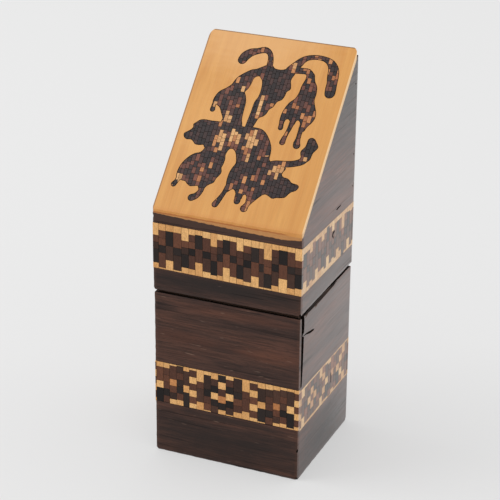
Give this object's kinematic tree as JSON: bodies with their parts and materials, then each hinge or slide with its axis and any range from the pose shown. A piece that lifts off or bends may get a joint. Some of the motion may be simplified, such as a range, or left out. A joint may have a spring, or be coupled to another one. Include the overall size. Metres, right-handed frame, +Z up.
{
  "type": "needle case",
  "caption": "Slope-top veneered wooden needle case with mosaic bands and an inlaid spray; the lid lifts straight off a partitioned liner for needle packets.",
  "frame": {"origin": "centre of the underside, on the face that the case stands on", "axes": "+Z up, +Y towards the tall back, +X to the right as seen from the low front"},
  "size_m": [0.031, 0.0274, 0.0809],
  "materials": {
    "rosewood": "satin",
    "mosaic": "satin",
    "slope_wood": "satin",
    "carcase_wood": "matte",
    "liner_wood": "matte",
    "underside_paper": "matte"
  },
  "bodies": {
    "base": {"floor_board": "carcase_wood", "base_front_board": "carcase_wood", "base_back_board": "carcase_wood", "base_left_board": "carcase_wood", "base_right_board": "carcase_wood", "base_front_lower_veneer": "rosewood", "base_back_lower_veneer": "rosewood", "base_left_lower_veneer": "rosewood", "base_right_lower_veneer": "rosewood", "base_front_band": "mosaic", "base_back_band": "mosaic", "base_left_band": "mosaic", "base_right_band": "mosaic", "base_front_upper_veneer": "rosewood", "base_back_upper_veneer": "rosewood", "base_left_upper_veneer": "rosewood", "base_right_upper_veneer": "rosewood", "liner_front": "liner_wood", "liner_back": "liner_wood", "liner_left": "liner_wood", "liner_right": "liner_wood", "partition_1": "liner_wood", "partition_2": "liner_wood", "underside_paper": "underside_paper"},
    "lid": {"lid_front_board": "carcase_wood", "lid_back_board": "carcase_wood", "lid_left_board": "carcase_wood", "lid_right_board": "carcase_wood", "slope_board": "carcase_wood", "lid_front_lower_veneer": "rosewood", "lid_back_lower_veneer": "rosewood", "lid_left_lower_veneer": "rosewood", "lid_right_lower_veneer": "rosewood", "lid_front_band": "mosaic", "lid_back_band": "mosaic", "lid_left_band": "mosaic", "lid_right_band": "mosaic", "lid_front_upper_veneer": "rosewood", "lid_back_upper_veneer": "rosewood", "lid_left_upper_veneer": "rosewood", "lid_right_upper_veneer": "rosewood", "slope_panel": "slope_wood", "slope_spray": "mosaic"}
  },
  "joints": [
    {"name": "lid_lift", "type": "slide", "parent": "base", "child": "lid", "axis": [0, 0, 1], "range_m": [0, 0.02]}
  ]
}
